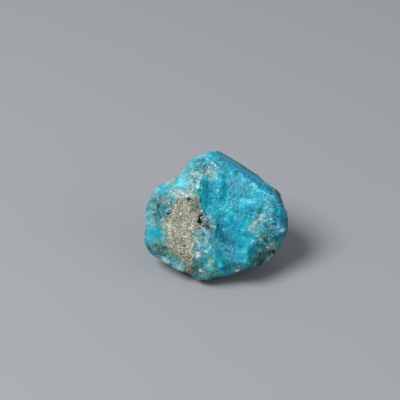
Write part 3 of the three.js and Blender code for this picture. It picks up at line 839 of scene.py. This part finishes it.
    "painted glint in the hollow": ((1.9, -2.35), (0.22, 0.2), 0, "#8cd6f0", 1.0),
    "painted glint over the olive": ((9.1, -3.85), (0.22, 0.22), 0, "#a0e0e8", 1.0),
    "painted glint by the top vug": ((-5.4, 4.5), (0.25, 0.2), 0, "#def6f0", 1.0),
    "painted glint right of the vein": ((11.8, -0.1), (0.22, 0.25), 0, "#9ce2f6", 1.0),
    "dark under the slit": ((-2.3, -3.4), (0.35, 0.3), 0, "#3c5757", 0.9),
    "dark over the foot": ((-2.3, -7.6), (0.4, 0.3), 0, "#256468", 0.8),
    "dark by the ochre": ((-6.3, -9.3), (0.5, 0.25), -25, "#42604c", 0.8),
    # Painted shade: the right rim is darkened as if it lay in shadow
    "painted shade on the right rim": ((14.0, 3.3), (0.25, 0.9), 20, "#124a54", 0.85),
    # The matrix's own shades and the vugs
    "olive top of the matrix": ((-3.8, 3.3), (0.95, 1.9), 8, "#5f8270", 0.95),
    "green in the matrix's top": ((-3.9, 2.3), (0.7, 0.6), 0, "#4f7f6c", 0.85),
    "pale matrix's left": ((-9.6, -1.6), (0.7, 1.0), 0, "#d2dcc4", 0.9),
    "pale over the olive top": ((-3.9, 4.3), (0.5, 0.5), 0, "#84bcae", 0.8),
    "grey top of the matrix": ((-6.8, 3.6), (1.6, 0.6), 0, "#9aa79c", 0.6),
    "pink grey by the vug": ((-4.2, 0.3), (1.0, 0.6), 0, "#c6c4bc", 0.8),
    "ochre": ((-7.0, -7.5), (1.1, 0.7), -25, "#93945e", 0.85),
    "brown ochre": ((-5.8, -8.2), (0.6, 0.4), -20, "#937a5c", 0.8),
    "brown foot of the matrix": ((-5.1, -11.0), (0.6, 0.7), 0, "#7d6447", 0.85),
    "dark vug": ((-2.87, -0.6), (0.52, 0.85), 10, "#2e2e29", 0.97),
    "vug's upper end": ((-2.7, 0.6), (0.4, 0.4), 0, "#3a3d3a", 0.85),
    "slit": ((-1.55, -1.85), (0.9, 0.27), -14, "#33323f", 0.95),
    "pale in the vug's rim": ((-2.4, -1.6), (0.5, 0.35), 0, "#d8d0cc", 0.95),
    "vug at the matrix's top": ((-5.25, 3.95), (0.42, 0.3), 25, "#3e4634", 0.8),
}


def mix(a, b, share):
    return a + (b - a) * share[:, None]


# The blue, its brown seams and chalky edges, and the sandy matrix, before any patch is painted.
def groundColours(s, fine):
    points = s.points
    tone = {name: lin(value) for name, value in colours.items()}
    broad = waves(points, 4.5, 71) + 0.5 * waves(points, 1.9, 72)
    tint = mix(tone["turquoise"], tone["deep turquoise"], smooth(broad, -0.1, -0.9) * 0.7)
    green = smooth(waves(points, 5.5, 75) + 0.4 * fine, 0.35, 0.9) * 0.6
    tint = mix(tint, tone["green turquoise"], green * s.elsewhere)
    tint = mix(tint, tone["pale turquoise"], smooth(broad + 0.5 * fine, 0.5, 1.1) * 0.6)

    # The seams and edges are on the sides and the back
    seam = np.abs(waves(points, 5.0, 76) + 0.35 * waves(points, 1.4, 77))
    broken = smooth(waves(points, 2.4, 88) + 0.5 * fine, -0.25, 0.5)
    brown = smooth(seam, 0.08, 0.01) * 0.75 * broken
    tint = mix(tint, tone["limonite"], brown * s.elsewhere * (1 - s.onBevel))
    chalky = smooth(waves(points, 3.0, 78) + 0.5 * fine, 0.62, 0.9) * 0.7
    tint = mix(tint, tone["kaolin"], chalky * s.elsewhere)
    for at, size, turn, colour, strength in greenerSpots.values():
        share = smooth(inEllipse(s.seen, at, size, turn) + 0.3 * fine, 1.3, 0.6) * strength * s.front
        tint = mix(tint, lin(colour), share)

    nearest, share, _ = cells(points, surfaceLook["grit"][1][0], 52)
    # Painted shade: the sand is darker in the hollows between its grains, where the relief dips
    sand = mix(tone["matrix"], tone["matrix with painted shade in hollows"], smooth(nearest, 0.4, 0.75) * 0.75)
    sand = mix(sand, tone["matrix on high grains"], smooth(share, 0.7, 0.95) * 0.8)
    sand = mix(sand, tone["limonite"], smooth(waves(points, 3.4, 79), 0.35, 0.8) * 0.5 * s.elsewhere)
    sand *= (1 + 0.28 * waves(points, 2.6, 69) + 0.3 * waves(points, 1.1, 70))[:, None]
    return mix(tint, sand, s.matrix)


# The patches' colours are the ones seen in the light, so each is divided by the light that falls there.
def paintPatches(tint, s, place, granular):
    light = np.clip(lightOn(s.broadNormals), 0.45, 1.3)
    for at, size, turn, colour, strength in patches.values():
        share = smooth(inEllipse(place, at, size, turn) + granular, 1.5, 0.5) * strength * s.front
        held = 1 + 0.3 * (tint.mean(1) / tint.mean() - 1)  # some of the ground's pattern shows through
        painted = (lin(colour) - sheen) * (held / light)[:, None] + sheen
        tint = mix(tint, painted, share)
    return tint


# Flecks of matrix and dark specks, in irregular grains.
def strewFlecks(tint, s, place, granular):
    bent = s.points + 0.16 * np.stack([waves(s.points, 0.5, 91 + k) for k in range(3)], 1)
    s.mottled = np.zeros(len(bent))
    for grain, seed in grainLook["fleckSizes"]:
        nearest, share, _ = cells(bent, grain, seed)
        hollow = smooth(nearest, 0.75, 0.4)
        for at, size, turn, light, dark, colour in mottledSpots.values():
            within = smooth(inEllipse(place, at, size, turn) + 0.5 * granular, 1.2, 0.7) * s.front
            within *= 1 - s.matrix
            s.mottled = np.maximum(s.mottled, within)
            pale = smooth(share, 0.95 - light, 1.12 - light) * hollow * within
            tint = mix(tint, lin(colour), pale * grainLook["fleckShare"])
            deep = smooth(share, 0.06 + dark, dark - 0.06)
            tint *= (1 - grainLook["fleckDarkness"] * deep * hollow * within)[:, None]
    return tint


# The bevel's dark far edge, painted shade on the side that faces right and down, and the blue's lean to
# green in one place and to sky blue in another.
def weatheringAndPaintedRimShade(tint, s, fine):
    points = s.points
    bearing = math.radians(bevel["bearing"])
    alongBevel = points[:, 0] * math.sin(bearing) - points[:, 1] * math.cos(bearing)
    limit = rindLook["depth"] + rindLook["widening"] * alongBevel
    edge = points[:, 2] - limit + 0.6 * waves(points, 1.8, 97) + 0.3 * waves(points, 0.6, 98)
    brown = smooth(waves(points, 1.5, 99) + 0.6 * fine, -0.2, 0.7) * 0.8
    rind = mix(lin(colours["weathered edge"]), lin(colours["weathered brown"]), brown)
    tint = mix(tint, rind, smooth(edge, 0.3, -1.5) * s.onBevel * rindLook["share"])

    # Painted shade: the rim and sides that face right and down, away from the key light, are darkened
    rightAndDown = s.broadNormals @ np.array([0.8, -0.6, 0.0])
    outward = s.broadNormals[:, 2]
    rim = smooth(outward, 0.42, 0.02) * smooth(rightAndDown, 0.3, 0.8) * (1 - s.onBevel)
    tint *= (1 - 0.6 * rim * smooth(outward, -0.6, -0.2))[:, None]

    lean = (waves(points, 1.7, 101) + 0.6 * waves(points, 0.7, 102)) * (1 - s.matrix)
    return tint * (1 + lean[:, None] * np.array([-0.12, 0.04, -0.08]))


# Each grain is paler or deeper than the next, a few are white or nearly black, and dips get painted shade
# while high spots get painted light.
def grainColoursAndPaintedLight(tint, s, fine, place, granular):
    points = s.points
    waxy = np.zeros(len(points))
    for at, size, turn in waxySpots.values():
        waxy = np.maximum(waxy, smooth(inEllipse(place, at, size, turn) + 0.3 * granular, 1.25, 0.6))
    s.waxy = np.maximum(waxy * s.front, smooth(waves(points, 4.0, 85), 0.0, 0.6) * (1 - s.front))
    plain = (1 - 0.7 * s.waxy) * (1 - 0.75 * s.onBevel)
    share = cells(points, grainLook["size"], 81)[1]
    uneven = grainLook["contrast"] * (share - 0.5) * plain
    tint = tint * (1 + uneven * (1 + 0.6 * s.matrix + 0.3 * s.mottled))[:, None]

    nearest, share, _ = cells(points, grainLook["speckSize"], 82)
    gathered = smooth(waves(points, 2.6, 83) + 0.6 * waves(points, 0.9, 84), -0.5, 0.6)
    # White specks: chalky spots that also stand in for painted glints
    speck = smooth(share, 1 - grainLook["white"], 1.0) ** 2 * smooth(nearest, 0.8, 0.3) * gathered
    pale = mix(lin(colours["chalky specks and painted glints"]), lin(colours["kaolin"]), np.maximum(s.matrix, 0.8 * s.mottled))
    tint = mix(tint, tint * 0.2 + pale * 0.8, speck * plain)
    dark = smooth(share, grainLook["dark"] * 2, grainLook["dark"])
    tint *= (1 - grainLook["darkness"] * dark * plain)[:, None]
    blotch = grainLook["blotches"] * (waves(points, 1.4, 86) + 0.7 * waves(points, 0.7, 87))
    tint *= (1 + blotch * (1 - 0.7 * s.onBevel) * (1 - 0.5 * s.matrix))[:, None]
    tint *= (1 + 0.12 * fine * plain)[:, None]
    # Painted shade in the dips and painted light on the high spots of the fine relief
    return tint * (1 + 1.8 * np.clip(s.fine, -0.22, 0.18))[:, None]


def paintStone(s):
    points = s.points
    fine = waves(points, 0.9, 73) + 0.6 * waves(points, 0.45, 74)
    place = s.seen + s.wobble * 0.9 + np.stack([waves(points, 0.28, 15), waves(points, 0.28, 16)], 1) * 0.09
    granular = 0.36 * waves(points, 0.7, 17) + 0.4 * (cells(points, 0.36, 18)[1] - 0.5)
    tint = groundColours(s, fine)
    tint = paintPatches(tint, s, place, granular)
    tint = strewFlecks(tint, s, place, granular)
    tint = weatheringAndPaintedRimShade(tint, s, fine)
    tint = grainColoursAndPaintedLight(tint, s, fine, place, granular)
    return np.clip(tint - sheen, 0.002, 0.95)


tint = paintStone(stone)
print("colours painted")


# Adds a node with its settings, the values of its sockets and the links into them.
def addNode(tree, kind, values=None, links=None, **settings):
    node = tree.nodes.new(kind)
    for name, value in settings.items():
        setattr(node, name, value)
    for name, value in (values or {}).items():
        node.inputs[name].default_value = value
    for name, source in (links or {}).items():
        tree.links.new(source, node.inputs[name])
    return node


def newMaterial(name):
    material = bpy.data.materials.new(name)
    material.use_nodes = True
    material.node_tree.nodes.clear()
    return material, material.node_tree


blueLook = {
    "roughness": (0.36, 0.62),  # from the waxiest to the chalkiest spots
    "gritRoughness": 0.3,  # what the matrix adds to it
    "ior": 1.61,  # turquoise
    "sheen": 0.11,  # 0.5 would be a clean flat face; fine unevenness leaves less
    "grainLength": 0.34,
    "swing": 0.34,  # how much paler or deeper the finest grains are
    "bumpHeight": 0.05,
    "speckSize": 0.26,
    "speckShare": 0.035,
    "speckAndGlintColour": "#d6f2f6",
    "glow": 0.06,  # light that passes under the surface
    "glowDepth": 0.4,
}


# Natural turquoise, broken and weathered: a waxy, faintly translucent blue with chalky spots that also stand
# in for painted glints, that shines a little on its smooth face. Its tint also carries painted shade on some
# rims and in dips. Its sandy matrix, where grit is 1, is duller. The finest grains are drawn about 0.3 mm
# wide, coarser than the real ones, because smaller ones wouldn't show.
def stoneMaterial():
    material, tree = newMaterial("turquoise_with_sandy_matrix")
    place = addNode(tree, "ShaderNodeTexCoord").outputs["Object"]
    tintNode = addNode(tree, "ShaderNodeAttribute", attribute_name="tint").outputs["Color"]
    grit = addNode(tree, "ShaderNodeAttribute", attribute_name="grit").outputs["Fac"]
    polish = addNode(tree, "ShaderNodeAttribute", attribute_name="polish").outputs["Fac"]
    noise = {"Scale": 1 / (blueLook["grainLength"] * mm), "Detail": 3.0, "Roughness": 0.6}
    fine = addNode(tree, "ShaderNodeTexNoise", noise, {"Vector": place}).outputs["Fac"]
    plain = addNode(tree, "ShaderNodeMath", {0: 1.0}, {1: polish}, operation="SUBTRACT").outputs[0]

    # The finest grains, paler and deeper
    reach = {"From Min": 0.3, "From Max": 0.7, "To Min": -blueLook["swing"], "To Max": blueLook["swing"]}
    swing = addNode(tree, "ShaderNodeMapRange", reach, {"Value": fine}).outputs["Result"]
    lift = addNode(tree, "ShaderNodeMath", {2: 1.0}, {0: swing, 1: plain}, operation="MULTIPLY_ADD")
    factors = {0: tintNode, 1: lift.outputs[0]}
    lifted = addNode(tree, "ShaderNodeVectorMath", None, factors, operation="MULTIPLY").outputs["Vector"]

    # Specks that are chalky and also stand in for painted glints, fewer where the stone is dark
    scale = {"Scale": 1 / (blueLook["speckSize"] * mm)}
    specks = addNode(tree, "ShaderNodeTexVoronoi", scale, {"Vector": place})
    chosen = addNode(tree, "ShaderNodeSeparateColor", None, {"Color": specks.outputs["Color"]}).outputs["Red"]
    limit = {1: 1 - blueLook["speckShare"]}
    share = addNode(tree, "ShaderNodeMath", limit, {0: chosen}, operation="GREATER_THAN").outputs[0]
    reach = {"From Min": 0.5, "From Max": 0.2, "To Min": 0.0, "To Max": 0.85}
    near = addNode(tree, "ShaderNodeMapRange", reach, {"Value": specks.outputs["Distance"]}).outputs["Result"]
    depth = addNode(tree, "ShaderNodeRGBToBW", None, {"Color": tintNode}).outputs["Val"]
    reach = {"From Min": 0.05, "From Max": 0.28, "To Min": 0.15, "To Max": 1.0}
    shown = addNode(tree, "ShaderNodeMapRange", reach, {"Value": depth}).outputs["Result"]
    for factor in (near, plain, shown):
        share = addNode(tree, "ShaderNodeMath", None, {0: share, 1: factor}, operation="MULTIPLY").outputs[0]
    # In a colour mix, sockets 6 and 7 are the two colours and output 2 is the mixed one
    speckAndGlintColour = {7: (*lin(blueLook["speckAndGlintColour"]), 1)}
    colour = addNode(tree, "ShaderNodeMix", speckAndGlintColour, {6: lifted, 0: share}, data_type="RGBA").outputs[2]

    low, high = blueLook["roughness"]
    reach = {"From Min": 0.35, "From Max": 0.65, "To Min": low, "To Max": high}
    waxyRough = addNode(tree, "ShaderNodeMapRange", reach, {"Value": fine}).outputs["Result"]
    gritty = {1: blueLook["gritRoughness"]}
    rough = addNode(tree, "ShaderNodeMath", gritty, {0: grit, 2: waxyRough}, operation="MULTIPLY_ADD")
    reach = {"From Min": 0.0, "From Max": 1.0, "To Min": 0.8, "To Max": 0.12}
    strength = addNode(tree, "ShaderNodeMapRange", reach, {"Value": polish}).outputs["Result"]
    height = {"Distance": blueLook["bumpHeight"] * mm}
    bump = addNode(tree, "ShaderNodeBump", height, {"Height": fine, "Strength": strength})
    shader = addNode(
        tree,
        "ShaderNodeBsdfPrincipled",
        {
            "IOR": blueLook["ior"],
            "Specular IOR Level": blueLook["sheen"],
            "Subsurface Weight": blueLook["glow"],
            "Subsurface Scale": blueLook["glowDepth"] * mm,
            "Subsurface Radius": (0.5, 0.9, 1.0),  # the blue light goes deepest
        },
        {"Base Color": colour, "Roughness": rough.outputs[0], "Normal": bump.outputs["Normal"]},
    )
    addNode(tree, "ShaderNodeOutputMaterial", None, {"Surface": shader.outputs["BSDF"]})
    return material


def meshObject(name, partPoints, triangles, material, attributes, flat=False):
    mesh = bpy.data.meshes.new(name)
    mesh.from_pydata((partPoints * mm).tolist(), [], triangles.tolist())
    for key, values in attributes.items():
        if values.ndim == 2:
            layer = mesh.attributes.new(key, "FLOAT_COLOR", "POINT")
            opaque = np.hstack([values, np.ones((len(values), 1))])
            layer.data.foreach_set("color", opaque.astype(np.float32).ravel())
        else:
            layer = mesh.attributes.new(key, "FLOAT", "POINT")
            layer.data.foreach_set("value", values.astype(np.float32))
    mesh.materials.append(material)
    mesh.polygons.foreach_set("use_smooth", [not flat] * len(mesh.polygons))
    mesh.update()
    obj = bpy.data.objects.new(name, mesh)
    bpy.context.collection.objects.link(obj)
    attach(obj, "root")
    return obj


polish = np.maximum(0.9 * stone.onBevel, 0.6 * stone.waxy)
attributes = {"tint": tint, "grit": stone.matrix, "polish": polish}
surface = meshObject("stone_surface", stone.partPoints, stone.triangles, stoneMaterial(), attributes)
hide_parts("turquoise_nugget")
print("surface made")


# Grains and crystals

# Random spots on the surface, more of them where the weight is higher.
def pickSpots(weight, count):
    t = stone.triangles
    a, b, c = (stone.points[t[:, i]] for i in range(3))
    area = np.linalg.norm(np.cross(b - a, c - a), axis=1) * weight[t].mean(1)
    chosen = rng.choice(len(t), count, p=area / area.sum())
    u, v = rng.random(count), rng.random(count)
    over = u + v > 1
    u[over], v[over] = 1 - u[over], 1 - v[over]
    spots = a[chosen] + u[:, None] * (b - a)[chosen] + v[:, None] * (c - a)[chosen]
    return spots, stone.normals[t[chosen, 0]], tint[t[chosen, 0]]


# Small broken crystals, half sunk into the surface.
def addGrains(name, weight, look, material):
    count = look["count"]
    spots, normals, under = pickSpots(weight, count)
    form, sides = icosahedron()
    sides = np.array(sides)
    size = rng.uniform(*look["size"], count) / 2
    turns = np.linalg.qr(rng.normal(size=(count, 3, 3)))[0]
    stretch = rng.uniform(0.7, 1.15, (count, 1, 3))
    jitter = rng.uniform(0.8, 1.15, (count, len(form), 1))
    shapes = (form[None] * jitter * stretch) @ turns * size[:, None, None]
    lift = (size * look["lift"])[:, None]
    corners = (spots + normals * lift)[:, None, :] + shapes
    points = toPart(corners.reshape(-1, 3))
    points[:, 2] = np.maximum(points[:, 2], 0)
    triangles = (sides[None] + np.arange(count)[:, None, None] * len(form)).reshape(-1, 3)
    flipped = np.linalg.det(turns) < 0
    triangles = np.where(np.repeat(flipped, len(sides))[:, None], triangles[:, ::-1], triangles)
    palette = np.array([lin(c) for c in look["colours"]])
    own = palette[rng.choice(len(palette), count, p=look["shares"])]
    darkened = np.clip(0.35 + 2.4 * under.mean(1, keepdims=True), 0, 1)  # so that none glares on a dark spot
    own = own * rng.uniform(0.6, 1.15, (count, 1)) * darkened
    own = own * (1 - look["likeGround"]) + under * look["likeGround"]
    grainTint = np.clip(np.repeat(own, len(form), 0), 0, 0.95)
    meshObject(name, points, triangles, material, {"tint": grainTint}, flat=True)


def grainMaterial(name, look):
    material, tree = newMaterial(name)
    own = addNode(tree, "ShaderNodeAttribute", attribute_name="tint").outputs["Color"]
    values = {"Roughness": look["roughness"], "IOR": look["ior"]}
    shader = addNode(tree, "ShaderNodeBsdfPrincipled", values, {"Base Color": own})
    addNode(tree, "ShaderNodeOutputMaterial", None, {"Surface": shader.outputs["BSDF"]})
    return material


sugarLook = {
    "count": 3000,
    "size": (0.18, 0.55),
    "lift": 0.1,
    "colours": ("#a9a792", "#c8c7ba", "#8a8672", "#f8f8f0", "#9b8f70"),
    "shares": (0.45, 0.22, 0.18, 0.08, 0.07),
    "likeGround": 0.45,  # how much of the colour below each grain takes
    "roughness": 0.32,
    "ior": 1.55,  # quartz
    "fewer": (((-6.0, -8.3), (2.0, 1.2), -30), 0.7),  # an earthy spot with few grains
}

speckLook = {
    "count": 2200,
    "size": (0.1, 0.3),
    "lift": 0.1,
    "colours": ("#98d8e4", "#d8f6fc", "#6cc8da"),
    "shares": (0.35, 0.15, 0.5),
    "likeGround": 0.45,
    "roughness": 0.28,
    "ior": 1.6,  # between quartz and turquoise
    "fewer": (((10.4, -6.4), (3.8, 2.4), 30), 0.65),  # the dark lower right
}

darkLook = {
    "count": 260,
    "size": (0.12, 0.34),
    "lift": 0.0,
    "colours": ("#1d1c1a", "#3a3630", "#55503f"),
    "shares": (0.5, 0.3, 0.2),
    "likeGround": 0.2,
    "roughness": 0.25,
    "ior": 2.2,  # manganese oxide
}


# 1 all over but in one spot of the show face, where this share of the grains is left out.
def allBut(spot, share):
    return 1 - share * smooth(inEllipse(stone.seen, *spot), 1.2, 0.7) * stone.front


inPits = np.zeros(len(stone.points))
for at, size, turn, _ in pits.values():
    inPits = np.maximum(inPits, smooth(inEllipse(stone.seen + 1.1 * stone.wobble, at, size, turn), 1.5, 0.8))
inPits *= stone.front

# Broken quartz sand with some limonite: it makes the matrix sugary, with glints on the clean faces.
high = smooth(stone.rise, -0.4, 0.1)
inMatrix = stone.matrix * allBut(*sugarLook["fewer"]) * (0.3 + 0.7 * high) * (1 - 0.8 * inPits)
addGrains("matrix_sugar_grains", inMatrix, sugarLook, grainMaterial("quartz_and_limonite_grains", sugarLook))

# Crumbs of turquoise and quartz left on the broken faces: pale, and bright where one catches the light.
inBlue = (1 - stone.matrix) * (1 - stone.onBevel) * (1 - inPits)
inBlue *= 1 - 0.75 * stone.waxy
inBlue *= 0.3 + 0.7 * stone.front
inBlue *= 1 + 2.0 * stone.mottled
inBlue *= allBut(*speckLook["fewer"])
inBlue *= 0.1 + smooth(waves(stone.points, 2.4, 83) + 0.6 * waves(stone.points, 0.9, 84), -0.4, 0.7) ** 2
addGrains("pale_specks", inBlue, speckLook, grainMaterial("fine_turquoise_and_quartz_grains", speckLook))

# Manganese oxide grown in the pits: nearly black grains with a hard shine.
addGrains("dark_crystals", inPits, darkLook, grainMaterial("manganese_oxide_crystals", darkLook))
print("grains scattered")


# The floor and the light

# Uncoated grey card: it has no shine, so the stone's shadow lies soft and even on it.
def addFloor():
    material, tree = newMaterial("matt_grey_card")
    values = {"Base Color": (*lin(studioLook["floor"]), 1), "Roughness": 0.8}
    shader = addNode(tree, "ShaderNodeBsdfPrincipled", values)
    addNode(tree, "ShaderNodeOutputMaterial", None, {"Surface": shader.outputs["BSDF"]})
    half = studioLook["floorHalf"]
    mesh = bpy.data.meshes.new("floor")
    corners = [(-half, -half, 0), (half, -half, 0), (half, half, 0), (-half, half, 0)]
    mesh.from_pydata(corners, [], [(0, 1, 2, 3)])
    mesh.materials.append(material)
    floor = bpy.data.objects.new("floor", mesh)
    floor.location = (0, 0, -studioLook["floorDrop"])
    bpy.context.collection.objects.link(floor)


# A round lamp at this side of the stone, turned to it.
def addLight(name):
    direction = np.array(studioLook[name + "From"]) @ faceAxes
    direction /= np.linalg.norm(direction)
    data = bpy.data.lights.new(name, "AREA")
    data.shape = "DISK"
    data.size = studioLook[name + "Size"]
    data.energy = studioLook[name + "Power"]
    light = bpy.data.objects.new(name, data)
    light.location = Vector(direction * studioLook["lightDistance"] + np.array(stoneMiddle) * mm)
    light.rotation_euler = Vector(direction).to_track_quat("Z", "Y").to_euler()
    bpy.context.collection.objects.link(light)


def addSky():
    world = bpy.data.worlds.new("studio")
    world.use_nodes = True
    background = world.node_tree.nodes["Background"]
    background.inputs["Color"].default_value = (*lin(studioLook["sky"]), 1)
    background.inputs["Strength"].default_value = studioLook["skyStrength"]
    bpy.context.scene.world = world


addFloor()
addLight("key")
addLight("fill")
addSky()
bpy.context.scene.view_settings.view_transform = "Standard"
print("studio lit")
